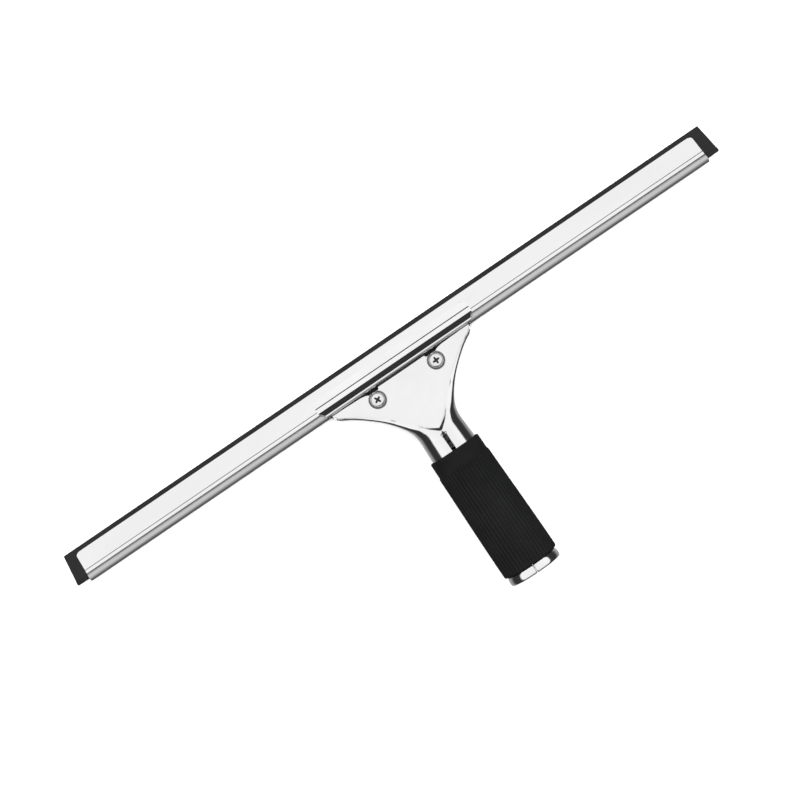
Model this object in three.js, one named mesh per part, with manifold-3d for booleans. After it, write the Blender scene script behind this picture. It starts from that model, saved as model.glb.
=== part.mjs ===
// A window cleaning squeegee with a 45 cm blade: a handle stamped and rolled from one sheet, a ribbed
// rubber grip on its tube, two jaws closed by two screws, and a folded channel with a rubber blade.
// It lies on its back. X runs along the blade, +Y points from the grip to the blade, +Z is up.
// Everything is in millimetres. "Reach" is the distance from the rubber's edge towards the grip.
import * as THREE from 'three';
import { mergeVertices } from 'three/addons/utils/BufferGeometryUtils.js';
import Module from 'manifold-3d';

const wasm = await Module();
wasm.setup();

const GAP = 0.15;                                  // between stacked flat pieces
const LENGTH = 160.3;                              // rubber's edge to the end of the tube
const TILT = THREE.MathUtils.degToRad(22);         // the blade's plane against the handle's axis

const RUBBER = { length: 450, endTaper: 0.07, depth: 20, half: 0.75, headStart: 18.5, headHalf: 1.45 };

const CHANNEL = {
  length: 433.6,
  sheet: 0.55,
  lip: 3.28,             // where the metal starts, from the rubber's edge
  flatHalf: 1.6,         // outside of the two flats, from the middle plane
  step: 15.3,            // a shallow step runs along both flats here
  stepRun: 0.5,
  stepRise: 0.25,
  spineAt: 19.74,        // middle of the round spine
  spineRadius: 2.75,
  corner: 2.2,
};

const CLIP = { length: 10, inset: 7, outer: 1.95, inner: 1.62, halfAngle: THREE.MathUtils.degToRad(105) };

const JAW = {
  sheet: 0.85,
  halfLength: 53.7,
  lipStart: 8.75,
  lipEnd: 13.6,
  shelfStart: 14.3,
  shelfEnd: 17.64,
  clearance: 0.25,       // between the jaw's lip and the channel
  shelfRise: 0.8,
  corner: 4,
  shoulderReach: 15,     // the jaw's ends slant in from here to the handle's ears
  earHalf: 46.6,
  earReach: 23.2,
  tabHalf: 29,
  tabReach: 33,
  rearInset: 5,          // the rear jaw is this much shorter at each end
  holeReach: 3,          // how far a screw hole's cutter goes above and below a tab
};
// Reach and height of the front jaw's ridge, which rolls over the spine and drops to the tab.
const RIDGE = [[18.1, 14.1], [19.5, 13.55], [20.1, 12.9], [20.5, 11.5]];
const FRONT_TAB = { start: 21.9, top: 10.55 };
const REAR_SHELF = { start: 14.46, end: 18.2, drop: 1 };
const REAR_TAB = { bendReach: 20.4, bendZ: 4.4, start: 23.5, bottom: 7.6 };
// Through each of these the ridge's foot is open in front of a screw.
const RELIEF = { halfWidth: 5.2, front: 20.95, back: 22.95, height: 8 };

const BODY_SHEET = 1;
const FAN_Z = 12.2;                                // middle of the sheet where the screws are
const FAN_EDGE = { reach: 21.3, endReach: 20.6, endX: 42, earX: 48.55, corner: 2.3 };

const GRIP = {
  start: 75.5,
  ribStart: 85.4,
  end: 154.5,
  collarRadius: 16.35,
  ribStartRadius: 16.85,
  endRadius: 17.7,
  ribs: 44,
  ribDepth: 0.55,
  clearance: 0.2,
};
const AXIS_Z = GRIP.endRadius;                     // the grip's end rests on the table

const SCREW = {
  x: 20.4,
  reach: 27.25,
  shank: 2,
  hole: 2.3,
  headRadius: 4.1,
  headHeight: 2.6,
  crown: 1.3,            // radius of the head's rounded rim
  end: 3.4,
  slotWidth: 1.05,
  slotTop: 2.05,         // half length of each arm of the cross, at the head's top
  slotBottom: 0.8,
  slotDepth: 1.7,
  turn: { left: 28, right: 4 },
};
const DISH = { radius: 5.84, depth: 1, floor: 4.7 };
// The fan's edge is cut back in front of each screw: steeply on the inner side, gently on the outer side.
// Each pair is the distance outwards from the screw, and the reach.
const NOTCH = [[-4.1, 20], [-4.1, 21.1], [-3.4, 22.3], [3.2, 22.3], [4.4, 21.75], [8.5, 20.9], [8.5, 20]];
const WASHER = { radius: 4.5, height: 0.8 };
const NUT = { acrossFlats: 7, height: 3.2 };

// Cutting tools for the fan and the jaws reach from below every piece to above it.
const LOW = -5;
const HIGH = 25;

const TIP_Z = RUBBER.half * Math.cos(TILT);        // the rubber's edge touches the table
const TIP_Y = (LENGTH - RUBBER.half * Math.sin(TILT)) / 2;
const yAt = (reach) => TIP_Y - reach;

// ---------------------------------------------------------------- solids

function toManifold(geometry) {
  const bare = new THREE.BufferGeometry();
  bare.setAttribute('position', geometry.getAttribute('position').clone());
  if (geometry.index) {
    bare.setIndex(geometry.index.clone());
  }
  const merged = mergeVertices(bare, 1e-4);
  const vertProperties = new Float32Array(merged.getAttribute('position').array);
  const triVerts = new Uint32Array(merged.index.array);
  return new wasm.Manifold(new wasm.Mesh({ numProp: 3, vertProperties, triVerts }));
}

function toGeometry(manifold) {
  const mesh = manifold.getMesh();
  const geometry = new THREE.BufferGeometry();
  geometry.setAttribute('position', new THREE.BufferAttribute(new Float32Array(mesh.vertProperties), 3));
  geometry.setIndex(new THREE.BufferAttribute(new Uint32Array(mesh.triVerts), 1));
  geometry.computeVertexNormals();
  return geometry;
}

function cut(geometry, ...tools) {
  return toGeometry(tools.reduce((solid, tool) => solid.subtract(toManifold(tool)), toManifold(geometry)));
}

function common(geometry, tool) {
  return toGeometry(toManifold(geometry).intersect(toManifold(tool)));
}

// An outline in the Y-Z plane, pushed along X and centred on x = 0.
function extrudeAlongX(outline, length) {
  const geometry = new THREE.ExtrudeGeometry(new THREE.Shape(outline), {
    depth: length,
    bevelEnabled: false,
  });
  geometry.translate(0, 0, -length / 2);
  const turn = new THREE.Matrix4().makeBasis(
    new THREE.Vector3(0, 1, 0),
    new THREE.Vector3(0, 0, 1),
    new THREE.Vector3(1, 0, 0),
  );
  return geometry.applyMatrix4(turn);
}

// An outline seen from above, pushed up from z = low to z = high.
function extrudeUp(outline, low, high) {
  const geometry = new THREE.ExtrudeGeometry(new THREE.Shape(outline), {
    depth: high - low,
    bevelEnabled: false,
  });
  return geometry.translate(0, 0, low);
}

// A right half outline, from front to back, with its mirror image.
function mirrored(rightHalf) {
  const leftHalf = rightHalf.map((point) => new THREE.Vector2(-point.x, point.y)).reverse();
  return [...rightHalf, ...leftHalf];
}

function arcPoints(centreX, centreY, radius, from, to, steps) {
  return Array.from({ length: steps + 1 }, (_, i) => {
    const angle = from + ((to - from) * i) / steps;
    return new THREE.Vector2(centreX + radius * Math.cos(angle), centreY + radius * Math.sin(angle));
  });
}

// A round upright piece from a closed profile of [radius, z] pairs, standing at a screw's place.
function turnedUpright(profile, segments, side) {
  const points = profile.map(([radius, z]) => new THREE.Vector2(radius, z));
  const geometry = new THREE.LatheGeometry(points, segments);
  geometry.rotateX(Math.PI / 2);
  return geometry.translate(side * SCREW.x, yAt(SCREW.reach), 0);
}

function ringProfile(inner, outer, low, high) {
  return [[inner, low], [outer, low], [outer, high], [inner, high], [inner, low]];
}

function pinProfile(radius, low, high) {
  return [[0, low], [radius, low], [radius, high], [0, high]];
}

// ---------------------------------------------------------------- blade and channel
// These are drawn in the blade's own frame: Y runs to the rubber's edge, Z is the front's normal.

function rubberBlade() {
  const { length, endTaper, depth, half, headStart, headHalf } = RUBBER;
  const side = [[0, half], [headStart - 0.9, half], [headStart, headHalf], [depth, headHalf]];
  const front = side.map(([w, n]) => new THREE.Vector2(-w, n));
  const rear = side.map(([w, n]) => new THREE.Vector2(-w, -n)).reverse();
  const geometry = extrudeAlongX([...front, ...rear], length);
  const position = geometry.getAttribute('position');
  for (let i = 0; i < position.count; i += 1) {
    const shortening = endTaper * (depth + position.getY(i));
    position.setX(i, position.getX(i) - Math.sign(position.getX(i)) * shortening);
  }
  return geometry;
}

// Half of the folded strip's face line, from the lip to the spine, at a distance inside the outer face.
function channelFace(inset, arcSteps) {
  const { lip, flatHalf, step, stepRun, stepRise, spineAt, spineRadius } = CHANNEL;
  const radius = spineRadius - inset;
  const shelf = flatHalf + stepRise - inset;
  const junction = Math.asin(shelf / radius);
  const upper = [
    new THREE.Vector2(-lip, flatHalf - inset),
    new THREE.Vector2(-step, flatHalf - inset),
    new THREE.Vector2(-step - stepRun, shelf),
  ];
  const spine = arcPoints(-spineAt, 0, radius, junction, 2 * Math.PI - junction, arcSteps);
  const lower = upper.map((point) => new THREE.Vector2(point.x, -point.y)).reverse();
  return [...upper, ...spine, ...lower];
}

function channelStrip() {
  const { sheet, length, lip, corner, spineAt, spineRadius } = CHANNEL;
  const outline = [...channelFace(0, 24), ...channelFace(sheet, 24).reverse()];
  const strip = extrudeAlongX(outline, length);
  const back = -spineAt - spineRadius - 1;
  const rightHalf = [
    new THREE.Vector2(length / 2, back),
    ...arcPoints(length / 2 - corner, -lip - corner, corner, 0, Math.PI / 2, 5),
  ];
  return common(strip, extrudeUp(mirrored(rightHalf), -spineRadius - 1, spineRadius + 1));
}

function endClip(side) {
  const { length, inset, outer, inner, halfAngle } = CLIP;
  const outline = [
    ...arcPoints(-CHANNEL.spineAt, 0, outer, Math.PI - halfAngle, Math.PI + halfAngle, 16),
    ...arcPoints(-CHANNEL.spineAt, 0, inner, Math.PI + halfAngle, Math.PI - halfAngle, 16),
  ];
  const centre = CHANNEL.length / 2 - inset - length / 2;
  return extrudeAlongX(outline, length).translate(side * centre, 0, 0);
}

// ---------------------------------------------------------------- jaws

// The side view of a place in the blade's frame, w back from the rubber's edge and n off its middle plane.
function fromBlade(w, n) {
  const reach = w * Math.cos(TILT) - n * Math.sin(TILT);
  return new THREE.Vector2(yAt(reach), TIP_Z + w * Math.sin(TILT) + n * Math.cos(TILT));
}

// A bent sheet seen from its edge: its face line, and the same line moved by the thickness.
function bentSheet(face, thickness) {
  const directions = face.slice(1).map((point, i) => point.clone().sub(face[i]).normalize());
  const back = face.map((point, i) => {
    const before = directions[Math.max(i - 1, 0)];
    const after = directions[Math.min(i, directions.length - 1)];
    const along = before.clone().add(after).normalize();
    const stretch = thickness / along.dot(after);
    return new THREE.Vector2(point.x - along.y * stretch, point.y + along.x * stretch);
  });
  return [...face, ...back.reverse()];
}

// The jaws' outline seen from above: round lip corners, straight ends, then in to the ears and the tab.
function jawPlan(inset) {
  const { halfLength, lipStart, clearance, sheet, corner, shoulderReach, earHalf, earReach } = JAW;
  const front = fromBlade(lipStart, CHANNEL.flatHalf + clearance + sheet).x;
  const half = halfLength - inset;
  return mirrored([
    ...arcPoints(half - corner, front - corner, corner, Math.PI / 2, 0, 6),
    new THREE.Vector2(half, yAt(shoulderReach)),
    new THREE.Vector2(earHalf - inset, yAt(earReach)),
    new THREE.Vector2(JAW.tabHalf + 8, yAt(JAW.tabReach - 4)),
    new THREE.Vector2(JAW.tabHalf, yAt(JAW.tabReach)),
  ]);
}

function screwHoles(radius, low, high) {
  return [-1, 1].map((side) => turnedUpright(pinProfile(radius, low, high), 24, side));
}

function jaw(face, inset, tabZ) {
  const plate = extrudeAlongX(bentSheet(face, JAW.sheet), 2 * JAW.halfLength + 2);
  const trimmed = common(plate, extrudeUp(jawPlan(inset), LOW, HIGH));
  return cut(trimmed, ...screwHoles(SCREW.hole, tabZ - JAW.holeReach, tabZ + JAW.holeReach));
}

function reliefSlot(side) {
  const { halfWidth, front, back, height } = RELIEF;
  const slot = new THREE.BoxGeometry(2 * halfWidth, back - front, height);
  return slot.translate(side * SCREW.x, yAt((front + back) / 2), FRONT_TAB.top);
}

// Lip on the channel's flat, step, shelf, a ridge over the spine, then down to the tab under the fan.
function frontJaw() {
  const lip = CHANNEL.flatHalf + JAW.clearance + JAW.sheet;
  const shelf = lip + JAW.shelfRise;
  const face = [
    fromBlade(JAW.lipStart, lip),
    fromBlade(JAW.lipEnd, lip),
    fromBlade(JAW.shelfStart, shelf),
    fromBlade(JAW.shelfEnd, shelf),
    ...RIDGE.map(([reach, z]) => new THREE.Vector2(yAt(reach), z)),
    new THREE.Vector2(yAt(FRONT_TAB.start), FRONT_TAB.top),
    new THREE.Vector2(yAt(JAW.tabReach), FRONT_TAB.top),
  ];
  return cut(jaw(face, 0, FRONT_TAB.top), reliefSlot(-1), reliefSlot(1));
}

function rearJaw() {
  const lip = -(CHANNEL.flatHalf + JAW.clearance + JAW.sheet);
  const shelf = lip - REAR_SHELF.drop;
  const face = [
    new THREE.Vector2(yAt(JAW.tabReach), REAR_TAB.bottom),
    new THREE.Vector2(yAt(REAR_TAB.start), REAR_TAB.bottom),
    new THREE.Vector2(yAt(REAR_TAB.bendReach), REAR_TAB.bendZ),
    fromBlade(REAR_SHELF.end, shelf),
    fromBlade(REAR_SHELF.start, shelf),
    fromBlade(JAW.lipEnd, lip),
    fromBlade(JAW.lipStart, lip),
  ];
  return jaw(face, JAW.rearInset, REAR_TAB.bottom);
}

// ---------------------------------------------------------------- handle body
// One sheet: a level fan whose sides stand up as rims, which grow towards the neck, curl over and meet in
// a seam along the front of the tube. A row gives reach, outer half width, height of the sheet's middle,
// lower bend radius, straight wall, upper bend radius, the angle of the upper bend, and the lip beyond it.
const OPEN_ROWS = [
  [18, 49.3, FAN_Z, 1.6, 0.1, 2.1, 62, 0.2],
  [23, 46.8, FAN_Z, 1.6, 0.1, 2.1, 66, 0.2],
  [25, 45.3, FAN_Z, 1.6, 0.2, 2.1, 70, 0.3],
  [26.4, 42.9, FAN_Z, 1.6, 0.2, 2.1, 74, 0.3],
  [28.3, 39.6, FAN_Z, 1.6, 0.4, 2.2, 78, 0.4],
  [31.5, 35.2, FAN_Z, 1.7, 0.9, 2.2, 82, 0.4],
  [34, 32.1, FAN_Z, 1.9, 1.4, 2.3, 84, 0.4],
  [40, 25.4, FAN_Z, 2.6, 3.2, 2.5, 86, 0.4],
  [46, 20.2, FAN_Z, 4.4, 5, 3.2, 86, 0.3],
  [51, 16.8, FAN_Z, 5.4, 5.2, 4.8, 85, 0.3],
  [53.6, 15.5, FAN_Z, 5.6, 4.2, 7, 75, 0.2],
  [56, 14.6, FAN_Z, 5.6, 2.8, 9.4, 72, 0.2],
  [58.6, 14.1, FAN_Z, 5.6, 1.6, 11.2, 76, 0.2],
  [60.2, 13.95, FAN_Z, 5.5, 0.8, 12.4, 80, 0.2],
  [61.6, 13.9, FAN_Z, 5.5, 0.2, 13.2, 84.5, 0.1],
];
// Reach, outer half width and height of the sheet's middle where the seam is closed.
const NECK_ROWS = [[62.5, 13.9, FAN_Z], [66, 14.05, 10.6], [71, 14.25, 6.4], [75, 14.4, 3.8]];
const TUBE_ROWS = [[75, 14.4], [100, 14.66], [130, 14.98], [153.6, 15.2]];
const FLARE_ROWS = [
  [154.7, 15.3],
  [155.2, 15.7],
  [156, 16.3],
  [157.2, 16.7],
  [158.2, 16.75],
  [159.2, 16.4],
  [159.9, 15.9],
  [160.6, 15.3],
];
// Reach and half width of the open seam, which is widest behind the mouth.
const SEAM_ROWS = [[61, 0.5], [63.5, 0.5], [65, 1.3], [76, 1.15], [100, 0.6], [162, 0.5]];
const SEAM_MOUTH = { start: 0.4, half: 1.7, length: 3.5 };
const SIDE_STEPS = { base: 4, lower: 7, wall: 1, upper: 10, lip: 1 };
const EXTRA_OPEN_REACHES = [20.5, 37, 43, 48.5];
const LEAST_WALL = 0.1;    // least length of a section's straight wall and lip

function interpolated(rows, reach) {
  const upper = rows.findIndex((row) => row[0] >= reach);
  const last = rows[Math.max(upper, 1)];
  const first = rows[Math.max(upper, 1) - 1];
  const t = (reach - first[0]) / (last[0] - first[0]);
  return first.map((value, i) => THREE.MathUtils.lerp(value, last[i], t));
}

// Half of the sheet's middle line at one reach, from x = 0 out to the rim's free edge.
function halfSection([reach, halfWidth, baseZ, lower, wall, upper, wrapDegrees, lip]) {
  const side = halfWidth - BODY_SHEET / 2;
  const wrap = THREE.MathUtils.degToRad(wrapDegrees);
  const base = Math.max(side - lower, 0);
  const bend = (lower * Math.PI) / 2;
  const evenSplit = ((base + bend) * SIDE_STEPS.base) / (SIDE_STEPS.base + SIDE_STEPS.lower);
  const split = Math.max(base, evenSplit);
  const flatThenBend = (along) => {
    const angle = Math.max(along - base, 0) / lower;
    return [Math.min(along, base) + lower * Math.sin(angle), baseZ + lower * (1 - Math.cos(angle))];
  };
  const rise = Math.max(wall, LEAST_WALL);
  const top = baseZ + lower + rise;
  const edgeX = side - upper * (1 - Math.cos(wrap));
  const edgeZ = top + upper * Math.sin(wrap);
  const stretches = [
    [SIDE_STEPS.base, (t) => flatThenBend(split * t)],
    [SIDE_STEPS.lower, (t) => flatThenBend(split + (base + bend - split) * t)],
    [SIDE_STEPS.wall, (t) => [side, baseZ + lower + rise * t]],
    [SIDE_STEPS.upper, (t) => [side - upper * (1 - Math.cos(wrap * t)), top + upper * Math.sin(wrap * t)]],
    [SIDE_STEPS.lip, (t) => [
      edgeX - Math.max(lip, LEAST_WALL) * t * Math.sin(wrap),
      edgeZ + Math.max(lip, LEAST_WALL) * t * Math.cos(wrap),
    ]],
  ];
  const points = [new THREE.Vector3(0, yAt(reach), baseZ)];
  for (const [steps, place] of stretches) {
    for (let i = 1; i <= steps; i += 1) {
      const [x, z] = place(i / steps);
      points.push(new THREE.Vector3(x, yAt(reach), z));
    }
  }
  return points;
}

function closedRow([reach, outer, baseZ = AXIS_Z - outer + BODY_SHEET / 2]) {
  const radius = outer - BODY_SHEET / 2;
  const seamHalf = interpolated(SEAM_ROWS, reach)[1];
  const wrap = 90 - THREE.MathUtils.radToDeg(Math.asin(seamHalf / radius));
  return [reach, outer, baseZ, AXIS_Z - baseZ, 0, radius, wrap, 0];
}

function sheetGrid() {
  const between = EXTRA_OPEN_REACHES.map((reach) => interpolated(OPEN_ROWS, reach));
  const open = [...OPEN_ROWS, ...between].sort((a, b) => a[0] - b[0]);
  const rows = [...open, ...[...NECK_ROWS, ...TUBE_ROWS.slice(1), ...FLARE_ROWS].map(closedRow)];
  return rows.map((row) => {
    const right = halfSection(row);
    const left = right.slice(1).map((point) => new THREE.Vector3(-point.x, point.y, point.z)).reverse();
    return [...left, ...right];
  });
}

// A sheet of even thickness about a grid of points: its two faces and the strip round its edge.
function thickSheet(grid, thickness) {
  const rows = grid.length;
  const columns = grid[0].length;
  const { clamp } = THREE.MathUtils;
  const at = (i, j) => grid[clamp(i, 0, rows - 1)][clamp(j, 0, columns - 1)];
  const faces = [[], []];
  for (let i = 0; i < rows; i += 1) {
    for (let j = 0; j < columns; j += 1) {
      const alongRow = at(i, j + 1).clone().sub(at(i, j - 1));
      const alongColumn = at(i + 1, j).clone().sub(at(i - 1, j));
      const normal = alongColumn.cross(alongRow).setLength(thickness / 2);
      faces[0].push(at(i, j).clone().add(normal));
      faces[1].push(at(i, j).clone().sub(normal));
    }
  }
  const index = [];
  const quad = (a, b, c, d) => index.push(a, b, c, a, c, d);
  const top = (i, j) => i * columns + j;
  const bottom = (i, j) => rows * columns + top(i, j);
  for (let i = 0; i < rows - 1; i += 1) {
    for (let j = 0; j < columns - 1; j += 1) {
      quad(top(i, j), top(i + 1, j), top(i + 1, j + 1), top(i, j + 1));
      quad(bottom(i, j), bottom(i, j + 1), bottom(i + 1, j + 1), bottom(i + 1, j));
    }
    quad(top(i, 0), bottom(i, 0), bottom(i + 1, 0), top(i + 1, 0));
    quad(top(i + 1, columns - 1), bottom(i + 1, columns - 1), bottom(i, columns - 1), top(i, columns - 1));
  }
  for (let j = 0; j < columns - 1; j += 1) {
    quad(top(0, j + 1), bottom(0, j + 1), bottom(0, j), top(0, j));
    quad(top(rows - 1, j), bottom(rows - 1, j), bottom(rows - 1, j + 1), top(rows - 1, j + 1));
  }
  const geometry = new THREE.BufferGeometry().setFromPoints([...faces[0], ...faces[1]]);
  geometry.setIndex(index);
  return geometry;
}

// What lies in front of the fan's edge: a shallow arc that ends in round ears.
function beyondFanEdge() {
  const { reach, endReach, endX, earX, corner } = FAN_EDGE;
  const sagitta = reach - endReach;
  const radius = (endX * endX + sagitta * sagitta) / (2 * sagitta);
  const edge = Array.from({ length: 9 }, (_, i) => {
    const x = (endX * i) / 8;
    return new THREE.Vector2(x, yAt(reach) + radius - Math.sqrt(radius * radius - x * x));
  });
  const earY = yAt(endReach);
  const clearX = OPEN_ROWS[0][1] + corner;
  const rightHalf = [
    ...edge,
    ...arcPoints(earX - corner, earY - corner, corner, Math.PI / 2, 0, 4),
    new THREE.Vector2(clearX, earY - corner),
    new THREE.Vector2(clearX, yAt(OPEN_ROWS[0][0]) + corner),
  ];
  return extrudeUp(mirrored(rightHalf.reverse()), LOW, HIGH);
}

function notchCutter(side) {
  const placeX = (outwards) => side * (SCREW.x + outwards);
  const outline = NOTCH.map(([outwards, reach]) => new THREE.Vector2(placeX(outwards), yAt(reach)));
  return extrudeUp(outline, LOW, HIGH);
}

// The sheet is dished round each screw, down to the jaw's tab.
function dishProfile() {
  const top = FAN_Z + BODY_SHEET / 2;
  const bottom = FAN_Z - BODY_SHEET / 2;
  const { radius, depth, floor } = DISH;
  return [
    [SCREW.hole, bottom - depth],
    [floor + 0.2, bottom - depth],
    [radius, bottom],
    [radius, top],
    [radius - 0.3, top],
    [floor, top - depth],
    [SCREW.hole, top - depth],
    [SCREW.hole, bottom - depth],
  ];
}

// The two sides of the seam open into a V at the flared end.
function seamMouth() {
  const outline = mirrored([
    new THREE.Vector2(SEAM_MOUTH.half, yAt(LENGTH + 1)),
    new THREE.Vector2(SEAM_MOUTH.start, yAt(LENGTH - SEAM_MOUTH.length)),
  ]);
  return extrudeUp(outline, AXIS_Z, AXIS_Z + HIGH);
}

function handleBody() {
  const sheet = toManifold(thickSheet(sheetGrid(), BODY_SHEET));
  const beyondEnd = new THREE.BoxGeometry(60, 20, 60).translate(0, yAt(LENGTH) - 10, AXIS_Z);
  const blank = [...screwHoles(DISH.radius - 0.15, LOW, HIGH), beyondEnd, seamMouth()]
    .reduce((solid, tool) => solid.subtract(toManifold(tool)), sheet);
  const dished = [-1, 1].reduce(
    (solid, side) => solid.add(toManifold(turnedUpright(dishProfile(), 24, side))),
    blank,
  );
  const trimmed = [beyondFanEdge(), notchCutter(-1), notchCutter(1)]
    .reduce((solid, tool) => solid.subtract(toManifold(tool)), dished);
  return toGeometry(trimmed);
}

// ---------------------------------------------------------------- grip and fasteners

// A sleeve that widens to its end: a smooth collar, then lengthwise ribs.
function gripSleeve() {
  const { start, ribStart, end, collarRadius, ribStartRadius, endRadius, ribs, ribDepth, clearance } = GRIP;
  const bore = (reach) => interpolated(TUBE_ROWS, reach)[1] + clearance;
  const boreEnd = bore(end - 1.2);
  const profile = [
    [bore(start), start],
    [collarRadius - 0.5, start],
    [collarRadius, start + 0.5],
    [collarRadius, ribStart - 0.3],
    [ribStartRadius, ribStart],
    [endRadius, end - 1.5],
    [endRadius - 1.2, end],
    [boreEnd + 0.1, end],
    [boreEnd, end - 1.2],
    [bore(130), 130],
    [bore(100), 100],
    [bore(start), start],
  ];
  const points = profile.map(([radius, reach]) => new THREE.Vector2(radius, -reach)).reverse();
  const geometry = new THREE.LatheGeometry(points, 2 * ribs);
  const position = geometry.getAttribute('position');
  for (let i = 0; i < position.count; i += 1) {
    const isValley = Math.floor(i / points.length) % 2 === 1;
    const point = points[i % points.length];
    const isRibbed = -point.y >= ribStart && point.x >= ribStartRadius;
    if (isValley && isRibbed) {
      const scale = 1 - ribDepth / point.x;
      position.setX(i, position.getX(i) * scale);
      position.setZ(i, position.getZ(i) * scale);
    }
  }
  return geometry.translate(0, yAt(0), AXIS_Z);
}

function crossRecess(side, top) {
  const { slotWidth, slotTop, slotBottom, slotDepth } = SCREW;
  const turn = THREE.MathUtils.degToRad(side < 0 ? SCREW.turn.left : SCREW.turn.right);
  const wedge = new THREE.Shape([
    new THREE.Vector2(-slotTop, GAP),
    new THREE.Vector2(-slotBottom, -slotDepth),
    new THREE.Vector2(slotBottom, -slotDepth),
    new THREE.Vector2(slotTop, GAP),
  ]);
  return [0, Math.PI / 2].map((quarter) => {
    const slot = new THREE.ExtrudeGeometry(wedge, { depth: slotWidth, bevelEnabled: false });
    slot.translate(0, 0, -slotWidth / 2);
    slot.rotateX(Math.PI / 2);
    slot.rotateZ(quarter + turn);
    return slot.translate(side * SCREW.x, yAt(SCREW.reach), top);
  });
}

function screwSolid(side) {
  const { shank, headRadius, headHeight, crown, end } = SCREW;
  const seat = washerLow() + WASHER.height + GAP;
  const top = seat + headHeight;
  const rim = arcPoints(headRadius - crown, top - crown, crown, 0, Math.PI / 2, 4);
  const profile = [
    [0, end],
    [shank - 0.4, end],
    [shank, end + 0.4],
    [shank, seat],
    [headRadius, seat],
    ...rim.map((point) => [point.x, point.y]),
    [0, top],
  ];
  return cut(turnedUpright(profile, 28, side), ...crossRecess(side, top));
}

function washerLow() {
  return FAN_Z + BODY_SHEET / 2 - DISH.depth + GAP;
}

function washerRing(side) {
  const low = washerLow();
  return turnedUpright(ringProfile(SCREW.hole, WASHER.radius, low, low + WASHER.height), 28, side);
}

function hexNut(side) {
  const high = REAR_TAB.bottom - GAP;
  const corner = NUT.acrossFlats / Math.sqrt(3);
  const block = new THREE.CylinderGeometry(corner, corner, NUT.height, 6);
  block.rotateX(Math.PI / 2);
  block.translate(side * SCREW.x, yAt(SCREW.reach), high - NUT.height / 2);
  return cut(block, turnedUpright(pinProfile(SCREW.hole, high - NUT.height - 1, high + 1), 24, side));
}

// ---------------------------------------------------------------- assembly

const STAINLESS = { color: 0xd4d6d8, roughness: 0.22, metalness: 1 };
const SPRING_STEEL = { color: 0x9a9c9e, roughness: 0.35, metalness: 1 };
const ZINC = { color: 0xb8babc, roughness: 0.3, metalness: 1 };
const BLADE_RUBBER = { color: 0x1c1c1d, roughness: 0.6, metalness: 0 };
const GRIP_RUBBER = { color: 0x18181a, roughness: 0.7, metalness: 0 };

function piece(name, geometry, look) {
  const mesh = new THREE.Mesh(geometry, new THREE.MeshStandardMaterial(look));
  mesh.name = name;
  return mesh;
}

const squeegee = new THREE.Group();

const bladeFrame = new THREE.Group();
bladeFrame.position.set(0, TIP_Y, TIP_Z);
bladeFrame.rotation.x = -TILT;
bladeFrame.add(
  piece('rubber_blade', rubberBlade(), BLADE_RUBBER),
  piece('channel', channelStrip(), STAINLESS),
  piece('left_end_clip', endClip(-1), SPRING_STEEL),
  piece('right_end_clip', endClip(1), SPRING_STEEL),
);

squeegee.add(
  bladeFrame,
  piece('front_jaw', frontJaw(), STAINLESS),
  piece('rear_jaw', rearJaw(), STAINLESS),
  piece('handle_body', handleBody(), STAINLESS),
  piece('grip_sleeve', gripSleeve(), GRIP_RUBBER),
);

[['left', -1], ['right', 1]].forEach(([name, side]) => {
  squeegee.add(
    piece(`${name}_screw`, screwSolid(side), ZINC),
    piece(`${name}_washer`, washerRing(side), SPRING_STEEL),
    piece(`${name}_nut`, hexNut(side), ZINC),
  );
});

export default squeegee;
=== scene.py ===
"""Window cleaning squeegee lying on a pale table, seen from straight above.

Lengths are in millimetres until mesh_piece turns them into metres. Reach is the distance back from the
rubber's edge towards the grip.
"""

import math

import bmesh
import bpy
import numpy as np
from mathutils import Matrix, Vector


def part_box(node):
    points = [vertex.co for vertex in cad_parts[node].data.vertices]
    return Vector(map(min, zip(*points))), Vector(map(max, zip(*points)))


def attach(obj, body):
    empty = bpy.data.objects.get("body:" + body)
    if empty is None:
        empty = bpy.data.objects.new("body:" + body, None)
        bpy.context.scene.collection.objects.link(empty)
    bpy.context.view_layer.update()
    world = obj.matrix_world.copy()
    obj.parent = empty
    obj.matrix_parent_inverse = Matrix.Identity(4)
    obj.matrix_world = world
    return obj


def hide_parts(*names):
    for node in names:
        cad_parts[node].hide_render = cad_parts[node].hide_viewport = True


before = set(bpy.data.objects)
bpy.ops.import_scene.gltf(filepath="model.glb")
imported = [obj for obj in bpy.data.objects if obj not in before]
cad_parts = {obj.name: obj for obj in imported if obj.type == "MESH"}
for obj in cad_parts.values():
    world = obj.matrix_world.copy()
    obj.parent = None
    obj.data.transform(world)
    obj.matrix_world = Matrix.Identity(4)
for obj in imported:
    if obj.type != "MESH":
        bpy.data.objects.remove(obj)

MM = 0.001
TILT = math.radians(22)         # the blade's plane against the handle's axis

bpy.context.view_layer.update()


def box_mm(node):
    """A CAD node's lowest and highest corners in millimetres."""
    low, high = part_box(node)
    return low / MM, high / MM


BODY_LOW = box_mm("handle_body")[0]
BLADE_HIGH = box_mm("rubber_blade")[1]
GRIP_LOW, GRIP_HIGH = box_mm("grip_sleeve")
SCREW_LOW, SCREW_HIGH = box_mm("right_screw")

RUBBER_HALF = 0.75              # half the rubber's thickness at its edge
TIP_Y = BLADE_HIGH.y - RUBBER_HALF * math.sin(TILT)
TIP_Z = RUBBER_HALF * math.cos(TILT)
AXIS_Z = (GRIP_LOW.z + GRIP_HIGH.z) / 2
SCREW_HOLE = 2.3                # radius of the holes for the screws
SCREW_X = (SCREW_LOW.x + SCREW_HIGH.x) / 2
SCREW_REACH = TIP_Y - (SCREW_LOW.y + SCREW_HIGH.y) / 2
LENGTH = TIP_Y - BODY_LOW.y     # the whole tool's reach


# ------------------------------------------------------------------ curves and grids


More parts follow.
